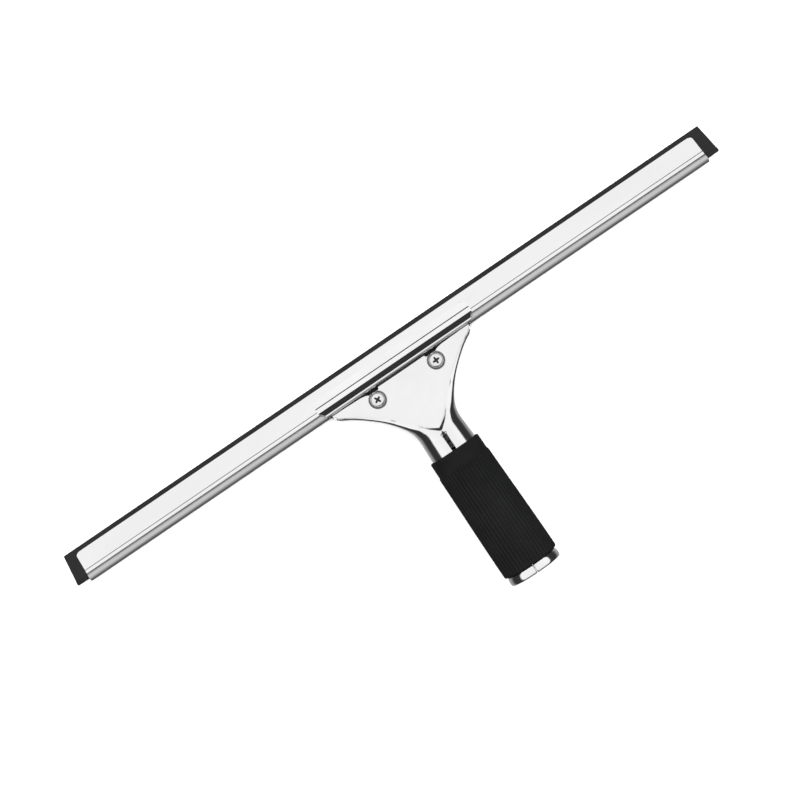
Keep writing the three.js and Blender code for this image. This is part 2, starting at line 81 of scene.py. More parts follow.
def monotone(rows, at):
    """Smooth values between rows of [place, value, value...] with no overshoot (Fritsch-Carlson)."""
    rows = np.array(rows, float)
    x, y = rows[:, 0], rows[:, 1:]
    h = np.diff(x)[:, None]
    slope = np.diff(y, axis=0) / h
    tangent = np.zeros_like(y)
    same_way = slope[:-1] * slope[1:] > 0
    w1, w2 = 2 * h[1:] + h[:-1], h[1:] + 2 * h[:-1]
    with np.errstate(divide="ignore", invalid="ignore"):
        inner = (w1 + w2) / (w1 / slope[:-1] + w2 / slope[1:])
    tangent[1:-1] = np.where(same_way, inner, 0)
    tangent[0], tangent[-1] = slope[0], slope[-1]
    at = np.atleast_1d(np.asarray(at, float))
    i = np.clip(np.searchsorted(x, at, side="right") - 1, 0, len(x) - 2)
    t = ((at - x[i]) / h[i, 0])[:, None]
    hermite = (
        (2 * t**3 - 3 * t**2 + 1) * y[i]
        + (t**3 - 2 * t**2 + t) * h[i] * tangent[i]
        + (-2 * t**3 + 3 * t**2) * y[i + 1]
        + (t**3 - t**2) * h[i] * tangent[i + 1]
    )
    return hermite


def smoothstep(t):
    t = np.clip(t, 0, 1)
    return t * t * t * (t * (6 * t - 15) + 10)


def offset_line(points, distance):
    """A bent line moved sideways, to the left of its direction, with mitred corners."""
    points = np.array(points, float)
    steps = np.diff(points, axis=0)
    steps /= np.linalg.norm(steps, axis=1)[:, None]
    before = np.vstack([steps[:1], steps])
    after = np.vstack([steps, steps[-1:]])
    along = before + after
    along /= np.linalg.norm(along, axis=1)[:, None]
    stretch = distance / np.sum(along * after, axis=1)
    side = np.stack([-along[:, 1], along[:, 0]], axis=1)
    return points + side * stretch[:, None]


def rounded_line(points, radius, spacing, bend_steps=6):
    """A bent line with each corner eased by a small curve, and points at an even spacing between."""
    points = np.array(points, float)
    out = [points[0]]
    for before, corner, after in zip(points[:-2], points[1:-1], points[2:]):
        to_before, to_after = before - corner, after - corner
        reach = min(radius, 0.45 * np.linalg.norm(to_before), 0.45 * np.linalg.norm(to_after))
        start = corner + to_before / np.linalg.norm(to_before) * reach
        end = corner + to_after / np.linalg.norm(to_after) * reach
        out.append(start)
        for i in range(1, bend_steps + 1):
            t = i / bend_steps
            out.append((1 - t) ** 2 * start + 2 * t * (1 - t) * corner + t * t * end)
    out.append(points[-1])
    dense = [out[0]]
    for a, b in zip(out[:-1], out[1:]):
        count = max(1, int(round(np.linalg.norm(b - a) / spacing)))
        dense += [a + (b - a) * k / count for k in range(1, count + 1)]
    return np.array(dense)


def mesh_piece(name, vertices, faces):
    """A smooth-shaded mesh object from places in millimetres."""
    mesh = bpy.data.meshes.new(name)
    mesh.from_pydata((np.asarray(vertices, float) * MM).tolist(), [], faces)
    mesh.validate()
    obj = bpy.data.objects.new(name, mesh)
    bpy.context.scene.collection.objects.link(obj)
    return obj


def grid_faces(rows, columns, close_columns=False, close_rows=False):
    faces = []
    for i in range(rows if close_rows else rows - 1):
        for j in range(columns if close_columns else columns - 1):
            a, b = i * columns + j, i * columns + (j + 1) % columns
            c = ((i + 1) % rows) * columns
            faces.append((a, b, c + (j + 1) % columns, c + j))
    return faces


def grid_piece(name, grid, **closing):
    grid = np.asarray(grid, float)
    rows, columns = grid.shape[:2]
    return mesh_piece(name, grid.reshape(-1, 3), grid_faces(rows, columns, **closing))


def settle(obj):
    """Replaces the object's mesh by what its modifiers make of it."""
    depsgraph = bpy.context.evaluated_depsgraph_get()
    mesh = bpy.data.meshes.new_from_object(obj.evaluated_get(depsgraph))
    obj.modifiers.clear()
    obj.data = mesh
    return obj


def face_outwards(obj):
    shape = bmesh.new()
    shape.from_mesh(obj.data)
    bmesh.ops.recalc_face_normals(shape, faces=shape.faces)
    shape.to_mesh(obj.data)
    shape.free()


def thicken(obj, thickness):
    solid = obj.modifiers.new("thickness", "SOLIDIFY")
    solid.thickness = thickness * MM
    solid.offset = 0
    solid.use_even_offset = True
    solid.use_quality_normals = True
    settle(obj)
    face_outwards(obj)


def soften(obj, width, angle=50, segments=2):
    bevel = obj.modifiers.new("edges", "BEVEL")
    bevel.width = width * MM
    bevel.segments = segments
    bevel.limit_method = "ANGLE"
    bevel.angle_limit = math.radians(angle)
    bevel.harden_normals = False
    bevel.use_clamp_overlap = True
    settle(obj)


def drill(obj, cutters):
    for cutter in cutters:
        boolean = obj.modifiers.new("hole", "BOOLEAN")
        boolean.operation = "DIFFERENCE"
        boolean.solver = "EXACT"
        boolean.object = cutter
        settle(obj)
        bpy.data.objects.remove(cutter)


def shade(obj, sharp_angle=40, weighted=True):
    mesh = obj.data
    mesh.polygons.foreach_set("use_smooth", [True] * len(mesh.polygons))
    mesh.set_sharp_from_angle(angle=math.radians(sharp_angle))
    if weighted:
        normals = obj.modifiers.new("flat faces stay flat", "WEIGHTED_NORMAL")
        normals.keep_sharp = True
        normals.weight = 50
    mesh.update()


def whole_turn(segments):
    return np.arange(segments) * 2 * math.pi / segments


def circle(radius, z, angles):
    return [(radius * math.cos(a), radius * math.sin(a), z) for a in angles]


def turned(name, profile, segments):
    """A closed ring of revolution about its own upright axis from a closed profile of (radius, z)."""
    grid = [circle(radius, z, whole_turn(segments)) for radius, z in profile]
    return grid_piece(name, grid, close_columns=True, close_rows=True)


def finished(obj, node, body, material):
    obj.data.materials.clear()
    obj.data.materials.append(material)
    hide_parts(node)
    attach(obj, body)
    return obj


def move_mesh(obj, x, y):
    obj.data.transform(Matrix.Translation(Vector((x, y, 0)) * MM))


def upright_cutter(outline, low, high):
    count = len(outline)
    vertices = [(x, y, low) for x, y in outline] + [(x, y, high) for x, y in outline]
    faces = [tuple(reversed(range(count))), tuple(range(count, 2 * count))]
    faces += [(i, (i + 1) % count, count + (i + 1) % count, count + i) for i in range(count)]
    return mesh_piece("cutter", vertices, faces)


def drill_screw_holes(obj, low, high):
    y, cutters = TIP_Y - SCREW_REACH, []
    for x in (-SCREW_X, SCREW_X):
        ring = circle(SCREW_HOLE, 0, whole_turn(48))
        cutters.append(upright_cutter([(x + dx, y + dy) for dx, dy, _ in ring], low, high))
    drill(obj, cutters)


# ------------------------------------------------------------------ materials


class Shader:
    """A Principled material with short helpers for its procedural inputs."""

    def __init__(self, name):
        self.material = bpy.data.materials.new(name)
        self.material.use_nodes = True
        self.nodes = self.material.node_tree.nodes
        self.links = self.material.node_tree.links
        self.principled = self.nodes["Principled BSDF"]
        self.place = self.node("ShaderNodeTexCoord").outputs["Object"]

    def node(self, kind, **values):
        node = self.nodes.new(kind)
        for key, value in values.items():
            setattr(node, key, value)
        return node

    def set(self, **values):
        for key, value in values.items():
            self.principled.inputs[key.replace("_", " ")].default_value = value

    def stretched(self, scale):
        mapping = self.node("ShaderNodeMapping")
        mapping.inputs["Scale"].default_value = scale
        self.links.new(self.place, mapping.inputs["Vector"])
        return mapping.outputs["Vector"]

    def noise(self, scale, detail=4.0, roughness=0.55, stretch=(1, 1, 1), distortion=0.0):
        noise = self.node("ShaderNodeTexNoise")
        noise.inputs["Scale"].default_value = scale
        noise.inputs["Detail"].default_value = detail
        noise.inputs["Roughness"].default_value = roughness
        noise.inputs["Distortion"].default_value = distortion
        self.links.new(self.stretched(stretch), noise.inputs["Vector"])
        return noise.outputs["Fac"]

    def ramp(self, value, *stops):
        ramp = self.node("ShaderNodeValToRGB")
        elements = ramp.color_ramp.elements
        while len(elements) > len(stops):
            elements.remove(elements[-1])
        while len(elements) < len(stops):
            elements.new(1.0)
        for element, (position, colour) in zip(elements, stops):
            element.position = position
            element.color = (*colour, 1) if isinstance(colour, tuple) else (colour, colour, colour, 1)
        self.links.new(value, ramp.inputs["Fac"])
        return ramp.outputs["Color"]

    def between(self, value, low, high):
        span = self.node("ShaderNodeMapRange")
        span.inputs["To Min"].default_value = low
        span.inputs["To Max"].default_value = high
        self.links.new(value, span.inputs["Value"])
        return span.outputs["Result"]

    def feed(self, socket, value):
        self.links.new(value, self.principled.inputs[socket])

    def bump(self, *heights):
        """Chains bumps given as (height, strength, distance in metres)."""
        normal = None
        for height, strength, distance in heights:
            bump = self.node("ShaderNodeBump")
            bump.inputs["Strength"].default_value = strength
            bump.inputs["Distance"].default_value = distance
            self.links.new(height, bump.inputs["Height"])
            if normal is not None:
                self.links.new(normal, bump.inputs["Normal"])
            normal = bump.outputs["Normal"]
        self.feed("Normal", normal)


def polished_stainless():
    s = Shader("polished_stainless")
    s.set(Metallic=1.0)
    cloud = s.noise(38, 5, 0.6)
    smears = s.noise(120, 3, 0.5, stretch=(1, 0.25, 1), distortion=0.6)
    s.feed("Base Color", s.ramp(cloud, (0.3, (0.82, 0.82, 0.823)), (0.7, (0.87, 0.87, 0.87))))
    s.feed("Roughness", s.between(smears, 0.07, 0.16))
    grain = s.noise(900, 2, 0.5, stretch=(1, 0.05, 1))
    ripple = s.noise(26, 2, 0.5)
    s.bump((ripple, 0.05, 0.0006), (grain, 0.04, 0.00004))
    return s.material


def brushed_stainless():
    s = Shader("brushed_stainless")
    s.set(Metallic=1.0)
    cloud = s.noise(22, 5, 0.6, stretch=(0.3, 1, 1))
    grain = s.noise(1400, 3, 0.6, stretch=(0.012, 1, 1))
    s.feed("Base Color", s.ramp(cloud, (0.3, (0.80, 0.80, 0.802)), (0.7, (0.86, 0.86, 0.86))))
    s.feed("Roughness", s.between(grain, 0.12, 0.26))
    s.bump((grain, 0.10, 0.00003))
    return s.material


def satin_stainless():
    s = Shader("satin_stainless")
    s.set(Metallic=1.0)
    grain = s.noise(1500, 4, 0.65, stretch=(0.01, 1, 1))
    s.feed("Base Color", s.ramp(grain, (0.3, (0.52, 0.52, 0.52)), (0.7, (0.66, 0.66, 0.66))))
    s.feed("Roughness", s.between(grain, 0.42, 0.54))
    s.bump((grain, 0.18, 0.00004))
    return s.material


def blade_rubber():
    s = Shader("blade_rubber")
    s.set(IOR=1.5, Specular_IOR_Level=0.22)
    bloom = s.noise(60, 5, 0.6)
    fine = s.noise(2600, 3, 0.6)
    scuffs = s.noise(700, 3, 0.6, stretch=(0.08, 1, 1))
    s.feed("Base Color", s.ramp(bloom, (0.3, (0.007, 0.007, 0.0073)), (0.75, (0.012, 0.012, 0.0125))))
    s.feed("Roughness", s.between(scuffs, 0.48, 0.68))
    s.bump((scuffs, 0.15, 0.00005), (fine, 0.2, 0.00002))
    return s.material


def grip_rubber():
    s = Shader("grip_rubber")
    s.set(IOR=1.5, Specular_IOR_Level=0.1)
    bloom = s.noise(45, 5, 0.6)
    fine = s.noise(2200, 4, 0.65)
    dust = s.noise(300, 5, 0.7)
    s.feed("Base Color", s.ramp(bloom, (0.3, (0.004, 0.004, 0.0042)), (0.75, (0.008, 0.008, 0.0085))))
    s.feed("Roughness", s.between(dust, 0.52, 0.74))
    s.bump((fine, 0.3, 0.00003))
    return s.material


# Dark steel: the clips' own colour; on the washers it is painted shade under the screw heads.
def spring_steel():
    s = Shader("spring_steel")
    s.set(Metallic=1.0)
    cloud = s.noise(260, 4, 0.6)
    s.feed("Base Color", s.ramp(cloud, (0.3, (0.24, 0.24, 0.245)), (0.7, (0.36, 0.36, 0.365))))
    s.feed("Roughness", s.between(cloud, 0.26, 0.42))
    s.bump((s.noise(2400, 3, 0.6), 0.15, 0.00003))
    return s.material


def bright_zinc():
    s = Shader("bright_zinc")
    s.set(Metallic=1.0)
    cloud = s.noise(300, 4, 0.6)
    s.feed("Base Color", s.ramp(cloud, (0.3, (0.74, 0.74, 0.75)), (0.7, (0.84, 0.84, 0.84))))
    s.feed("Roughness", s.between(cloud, 0.10, 0.22))
    s.bump((s.noise(1800, 3, 0.6), 0.08, 0.00003))
    return s.material


def painted_shade_and_grime():
    """Painted shade and old dirt in the bottom of a screw's cross; painted shade on the faces shut inside
    the jaws.
    """
    s = Shader("painted_shade_and_grime")
    s.set(IOR=1.45, Specular_IOR_Level=0.12)
    cloud = s.noise(900, 4, 0.6)
    s.feed("Base Color", s.ramp(cloud, (0.3, (0.012, 0.012, 0.012)), (0.7, (0.035, 0.034, 0.033))))
    s.feed("Roughness", s.between(cloud, 0.6, 0.85))
    s.bump((cloud, 0.3, 0.00004))
    return s.material


POLISHED = polished_stainless()
BRUSHED = brushed_stainless()
SATIN = satin_stainless()
BLADE_RUBBER = blade_rubber()
GRIP_RUBBER = grip_rubber()
STEEL_AND_WASHER_SHADE = spring_steel()
BRIGHT_ZINC = bright_zinc()
SHADE_AND_GRIME = painted_shade_and_grime()


# ------------------------------------------------------------------ handle body

SHEET = 1.0
FAN_Z = 12.2                    # height of the fan's middle surface

# Sections of the open part: reach, outer half width, height of the sheet's middle, lower bend radius,
# straight wall, upper bend radius, the angle of the upper bend in degrees, and the lip beyond it.
OPEN_ROWS = [
    [18, 50.4, FAN_Z, 1.6, 0.1, 2.1, 62, 0.2],
    [21, 48.8, FAN_Z, 1.6, 0.1, 2.1, 64, 0.2],
    [23, 47.2, FAN_Z, 1.6, 0.1, 2.1, 66, 0.2],
    [25, 45.3, FAN_Z, 1.6, 0.2, 2.1, 70, 0.3],
    [26.4, 42.9, FAN_Z, 1.6, 0.2, 2.1, 74, 0.3],
    [28.3, 39.6, FAN_Z, 1.6, 0.4, 2.2, 78, 0.4],
    [31.5, 35.2, FAN_Z, 1.7, 0.9, 2.2, 82, 0.4],
    [34, 32.1, FAN_Z, 1.9, 1.4, 2.3, 84, 0.4],
    [40, 25.4, FAN_Z, 2.8, 3, 2.5, 86, 0.4],
    [46, 20.2, FAN_Z, 4.1, 5.3, 3.2, 86, 0.3],
    [51, 16.8, FAN_Z, 5.4, 5.2, 4.8, 85, 0.3],
    [53.6, 15.5, FAN_Z, 5.6, 4.2, 7, 75, 0.2],
    [56, 14.6, FAN_Z, 5.6, 2.8, 9.4, 72, 0.2],
    [58.6, 14.1, FAN_Z, 5.6, 1.6, 11.2, 76, 0.2],
    [60.2, 13.95, FAN_Z, 5.5, 0.8, 12.4, 80, 0.2],
    [61.6, 13.9, FAN_Z, 5.5, 0.2, 13.2, 84.5, 0.1],
]
# Sections of the closed part: reach, outer radius, and in the neck the height of the flat bottom.
NECK_ROWS = [[62.5, 13.9, FAN_Z], [66, 14.05, 10.6], [71, 14.25, 6.4], [75, 14.4, 3.8]]
TUBE_END = 154.4
RIM = LENGTH - 0.48             # the thickness of the sheet leans out past its middle there
TUBE_ROWS = [[100, 14.66], [130, 14.98], [153.6, 15.2], [TUBE_END, 15.26]]
FLARE_ROWS = [
    [154.9, 15.75], [155.4, 16.15], [156.2, 16.45], [157.4, 16.65],
    [158.4, 16.72], [159.3, 16.62], [159.9, 16.4], [RIM, 16.1],
]
MOUTH = 62.0                    # where the rims have met and the seam begins
# Reach and half width of the open seam.
SEAM_ROWS = [
    [61, 0.3], [63.4, 0.32], [64.3, 1.6], [65.8, 1.25], [76, 1.1],
    [100, 0.6], [150, 0.3], [158.8, 0.2], [RIM, 0.4],
]
FRONT_REACH = 21.3              # the fan's front edge in the middle
FRONT_SAGITTA = 0.7             # how far that edge has curved forward at the end of its arc
FRONT_ARC_END = 42              # half width of the arc
# Distance outwards of the screw's centre, and how far the front edge is cut back there.
NOTCH_ROWS = [[-9, 0], [-4.3, 0], [-3.5, 1.2], [3.2, 1.2], [4.6, 0.62], [8.5, 0.06], [11, 0], [60, 0]]
DISH_RADIUS, DISH_WALL, DISH_DEPTH = 5.8, 1.1, 1.0
V_REACH, V_SLOPE, V_ROUNDING = 61.35, 0.66, 1.2     # the point of the pressed V, its arms and its tip
V_DEPTH, V_WALL, V_FADE = 3.2, 1.8, 11
SEAM_DROP, SEAM_CURL = 0.9, 0.85                    # the rims curl down beside the seam


def closed_row(reach, outer, base_z=None):
    radius = outer - SHEET / 2
    if base_z is None:
        base_z = AXIS_Z - radius
    seam = monotone(SEAM_ROWS, reach)[0, 0]
    wrap = 90 - math.degrees(math.asin(seam / radius))
    return [reach, outer, base_z, AXIS_Z - base_z, 0, radius, wrap, 0]


def fan_edge(x):
    """Reach of the fan's front edge: a shallow arc, cut back by a notch at each screw."""
    radius = (FRONT_ARC_END**2 + FRONT_SAGITTA**2) / (2 * FRONT_SAGITTA)
    arc = FRONT_REACH - (radius - math.sqrt(radius**2 - min(abs(x), FRONT_ARC_END) ** 2))
    outwards = max(abs(x) - SCREW_X, NOTCH_ROWS[0][0])
    return arc + float(monotone(NOTCH_ROWS, outwards)[0, 0])


def sheet_point(row, fraction):
    """The place on half of one section, fraction 0 in the middle of the sheet to 1 at the free edge."""
    reach, half_width, base_z, lower, wall, upper, wrap_degrees, lip = row
    side, wrap = half_width - SHEET / 2, math.radians(wrap_degrees)
    base = max(side - lower, 0)
    shoulder = base_z + lower + wall
    lengths = [base, lower * math.pi / 2, wall, upper * wrap, lip]
    along = fraction * sum(lengths)
    if along <= lengths[0]:
        return along, base_z
    along -= lengths[0]
    if along <= lengths[1]:
        return base + lower * math.sin(along / lower), base_z + lower * (1 - math.cos(along / lower))
    along -= lengths[1]
    if along <= lengths[2]:
        return side, base_z + lower + along
    along -= lengths[2]
    if along <= lengths[3]:
        return side - upper * (1 - math.cos(along / upper)), shoulder + upper * math.sin(along / upper)
    along -= lengths[3]
    return (
        side - upper * (1 - math.cos(wrap)) - along * math.sin(wrap),
        shoulder + upper * math.sin(wrap) + along * math.cos(wrap),
    )


def pressed(x, reach, z):
    """How far the press pushes the sheet down: dishes, the V at the tube's mouth, and the seam's rims."""
    distance = np.hypot(abs(x) - SCREW_X, reach - SCREW_REACH)
    dish = DISH_DEPTH * float(smoothstep((DISH_RADIUS - distance) / DISH_WALL))
    drop = 0.0
    on_bottom = z < AXIS_Z - 3
    if on_bottom:
        beyond_v = reach - (V_REACH - V_SLOPE * math.sqrt(x * x + V_ROUNDING))
        inside = float(smoothstep((12.5 - abs(x)) / 3))
        fade = float(smoothstep((NECK_ROWS[-1][0] - reach) / V_FADE))
        drop = V_DEPTH * float(smoothstep(beyond_v / V_WALL)) * inside * fade
    elif reach > MOUTH - 1.5:
        curl_edge = monotone(SEAM_ROWS, reach)[0, 0] + SEAM_CURL
        start = float(smoothstep((reach - MOUTH - 0.6) / 2))
        drop = SEAM_DROP * float(smoothstep((curl_edge - abs(x)) / SEAM_CURL)) * start
    return dish + drop


def handle_grid():
    rows = OPEN_ROWS + [closed_row(*row) for row in NECK_ROWS + TUBE_ROWS + FLARE_ROWS]
    fractions = np.concatenate([np.linspace(0, 0.9, 120), np.linspace(0.905, 1, 32)])
    fan_end = 35.0
    section_reach, ear_cut = 21.0, 3.2
    first = monotone(rows, section_reach)[0]
    starts = []
    for fraction in fractions:
        x, _ = sheet_point([section_reach, *first], fraction)
        past_fold = (fraction * 50 - 45.5) / 3
        starts.append(float(fan_edge(x)) + ear_cut * float(smoothstep(past_fold)))
    reaches = [[start + (fan_end - start) * t for start in starts] for t in np.linspace(0, 1, 34)]
    bands = [(fan_end, 52, 30), (52, 66, 48), (66, 78, 18), (78, TUBE_END, 16), (TUBE_END, RIM, 30)]
    for low, high, count in bands:
        reaches += [[low + (high - low) * k / count] * len(fractions) for k in range(1, count + 1)]
    grid = []
    for line in reaches:
        values = monotone(rows, line)
        half = []
        for fraction, reach, value in zip(fractions, line, values):
            x, z = sheet_point([reach, *value], fraction)
            half.append((x, TIP_Y - reach, z - pressed(x, reach, z)))
        left = [(-x, y, z) for x, y, z in reversed(half[1:])]
        grid.append(left + half)
    return grid


def make_handle():
    handle = grid_piece("handle_stamping", handle_grid())
    thicken(handle, SHEET)
    soften(handle, 0.2, angle=60)
    drill_screw_holes(handle, 5, 16)
    shade(handle, 50, weighted=False)
    return finished(handle, "handle_body", "handle", POLISHED)


# ------------------------------------------------------------------ jaws


def from_blade(w, n):
    """A place in the blade's frame, w back from the rubber's edge and n off its middle plane, as (y, z)."""
    reach = w * math.cos(TILT) - n * math.sin(TILT)
    return TIP_Y - reach, TIP_Z + w * math.sin(TILT) + n * math.cos(TILT)


JAW_SHEET = 0.85
JAW_BEND = 0.3                  # tighter bends fold the sheet's inner side over itself, and cuts fail
CHANNEL_HALF = 1.6              # half the channel's thickness over its flats
JAW_LIP = CHANNEL_HALF + 0.25 + JAW_SHEET
LIP_FRONT, LIP_BACK = 8.75, 13.6    # back from the rubber's edge, along the blade
TAB_REACH = 33


def jaw_half_length(y, half_length):
    """Half the jaw's length at one y: round lip corners, straight, then in to the ears and the tab."""
    reach = TIP_Y - y
    corner = 4.0
    lip_front = TIP_Y - from_blade(LIP_FRONT, JAW_LIP)[0]
    to_corner = max(lip_front + corner - reach, 0)
    rounding = corner - math.sqrt(max(corner**2 - to_corner**2, 0))
    ends = [(0, half_length), (15, half_length), (23.2, half_length - 7.1), (29, 37), (TAB_REACH, 29)]
    turned_in = np.interp(reach, [place for place, _ in ends], [half for _, half in ends])
    return float(turned_in) - rounding


def jaw_piece(name, face, half_length):
    """A pressed plate from the line of its outer face, with its columns closer together at the ends."""
    middle = offset_line(face, JAW_SHEET / 2)
    line = rounded_line(middle, JAW_BEND, 0.4)
    spread = np.sin(np.linspace(-math.pi / 2, math.pi / 2, 121))
    spread = 0.25 * spread + 0.75 * np.linspace(-1, 1, 121)
    grid = [[(s * jaw_half_length(y, half_length), y, z) for s in spread] for y, z in line]
    jaw = grid_piece(name, grid)
    thicken(jaw, JAW_SHEET)
    soften(jaw, 0.22, angle=60)
    return jaw


def paint_joint_shade(obj, is_inside):
    """Painted shade: the near-black material on the faces shut inside the clamp, where the joint lies in
    shadow.
    """
    obj.data.materials.append(SHADE_AND_GRIME)
    for face in obj.data.polygons:
        if is_inside(TIP_Y - face.center.y / MM, face):
            face.material_index = 1


def relief_outline(x, y, half_width, half_depth):
    """A slot with round ends."""
    ends = np.linspace(-math.pi / 2, math.pi / 2, 9)
    straight = half_width - half_depth
    right = [(x + straight + half_depth * math.cos(a), y + half_depth * math.sin(a)) for a in ends]
    left = [(x - straight - half_depth * math.cos(a), y - half_depth * math.sin(a)) for a in ends]
    return right + left


def make_front_jaw():
    tab_top = 10.55
    face = [
        from_blade(LIP_FRONT, JAW_LIP),
        from_blade(LIP_BACK, JAW_LIP),
        from_blade(14.3, JAW_LIP + 0.8),
        from_blade(17.35, JAW_LIP + 0.8),
        (TIP_Y - 18.35, 14.1),
        (TIP_Y - 19.6, 13.48),
        (TIP_Y - 20.1, 12.9),
        (TIP_Y - 20.5, 11.5),
        (TIP_Y - 21.9, tab_top),
        (TIP_Y - TAB_REACH, tab_top),
    ]
    jaw = jaw_piece("front_jaw_plate", face, box_mm("front_jaw")[1].x)
    drill_screw_holes(jaw, 8, 13)
    reliefs = [relief_outline(x, TIP_Y - 21.75, 4.6, 1.2) for x in (-SCREW_X, SCREW_X)]
    drill(jaw, [upright_cutter(outline, 7, 14) for outline in reliefs])
    shade(jaw, 50, weighted=False)
    finished(jaw, "front_jaw", "handle", POLISHED)
    # The tab's faces under the fan's edge get the near-black material: painted shade in the joint.
    paint_joint_shade(jaw, lambda reach, face: reach > 20.4 and face.center.z > 9.8 * MM)
    return jaw


def make_rear_jaw():
    lip, tab_bottom = -JAW_LIP, 7.6
    face = [
        from_blade(LIP_FRONT, lip),
        from_blade(LIP_BACK, lip),
        from_blade(14.46, lip - 1.0),
        from_blade(18.2, lip - 1.0),
        (TIP_Y - 20.4, 4.4),
        (TIP_Y - 23.5, tab_bottom),
        (TIP_Y - TAB_REACH, tab_bottom),
    ]
    jaw = jaw_piece("rear_jaw_plate", face[::-1], box_mm("rear_jaw")[1].x)
    drill_screw_holes(jaw, 6, 10)
    shade(jaw, 50, weighted=False)
    finished(jaw, "rear_jaw", "rear_jaw", POLISHED)
    # The upward faces between the plates get the near-black material: painted shade in the joint.
    paint_joint_shade(jaw, lambda reach, face: reach > 17 and face.normal.z > 0.3)
    return jaw


# ------------------------------------------------------------------ channel, rubber and clips

STRIP = 0.55
SPINE_AT = 19.74                # the spine's middle, back from the rubber's edge along the blade
SPINE_RADIUS = 2.75
LIP_AT = 3.28                   # the channel's lips, back from the rubber's edge


def channel_line():
    """The folded strip's middle line as (w, n): front lip, flat, step, round spine, and the rear flat."""
    half = CHANNEL_HALF - STRIP / 2
    shelf = half + 0.25
    radius = SPINE_RADIUS - STRIP / 2
    junction = math.asin(shelf / radius)
    upper = [(LIP_AT, half), (15.3, half), (15.8, shelf)]
    angles = np.linspace(junction, 2 * math.pi - junction, 41)
    spine = [(SPINE_AT - radius * math.cos(a), radius * math.sin(a)) for a in angles]
    front = rounded_line([*upper, spine[0]], 0.06, 0.8, 2)
    rear = [(w, -n) for w, n in reversed(front[:-1].tolist())]
    return [*front.tolist(), *spine[1:], *rear]


def make_channel():
    half_length = box_mm("channel")[1].x
    corner = 2.2
    columns = np.concatenate([
        np.linspace(-1, -0.985, 6), np.linspace(-0.98, 0.98, 50), np.linspace(0.985, 1, 6),
    ])
    grid = []
    for w, n in channel_line():
        to_corner = max(LIP_AT + corner - w, 0)
        end = half_length - (corner - math.sqrt(max(corner**2 - to_corner**2, 0)))
        y, z = from_blade(w, n)
        grid.append([(s * end, y, z) for s in columns])
    channel = grid_piece("channel_strip", grid)
    thicken(channel, STRIP)
    soften(channel, 0.1, angle=60)
    shade(channel, 35)
    finished(channel, "channel", "channel", BRUSHED)
    channel.data.materials.append(SATIN)
    spine = Vector((0, *from_blade(SPINE_AT, 0))) * MM
    for face in channel.data.polygons:
        off = face.center - spine
        if math.hypot(off.y, off.z) < (SPINE_RADIUS + 0.05) * MM:
            face.material_index = 1
    return channel


def make_rubber():
    half, depth, head_start, head_half = RUBBER_HALF, 20.0, 18.5, 1.45
    side = [(0, half), (head_start - 0.9, half), (head_start, head_half), (depth, head_half)]
    outline = side + [(w, -n) for w, n in reversed(side)]
    half_length, end_lean = BLADE_HIGH.x, 0.07
    stations = np.linspace(-1, 1, 41)
    loops = []
    for s in stations:
        loops.append([(s * (half_length - end_lean * (depth - w)), *from_blade(w, n)) for w, n in outline])
    count = len(outline)
    last = count * (len(stations) - 1)
    faces = grid_faces(len(stations), count, close_columns=True)
    faces += [tuple(range(count)), tuple(reversed(range(last, last + count)))]
    rubber = mesh_piece("squeegee_rubber", np.array(loops).reshape(-1, 3), faces)
    face_outwards(rubber)
    soften(rubber, 0.08, angle=40)
    shade(rubber, 35)
    return finished(rubber, "rubber_blade", "rubber", BLADE_RUBBER)


def make_clip(name, node):
    low, high = box_mm(node)
    outer, inner, half_angle = 1.95, 1.62, math.radians(105)
    angles = np.linspace(-half_angle, half_angle, 33)
    radius = (outer + inner) / 2
    grid = []
    for x in np.linspace(low.x, high.x, 13):
        arc = [from_blade(SPINE_AT + radius * math.cos(a), radius * math.sin(a)) for a in angles]
        grid.append([(x, y, z) for y, z in arc])
    clip = grid_piece(name, grid)
    thicken(clip, outer - inner)
    soften(clip, 0.06, angle=60)
    shade(clip, 40)
    return finished(clip, node, "rubber", STEEL_AND_WASHER_SHADE)


# ------------------------------------------------------------------ grip


def grip_ring(reach, radii, angles):
    return [(r * math.sin(a), TIP_Y - reach, AXIS_Z + r * math.cos(a)) for r, a in zip(radii, angles)]


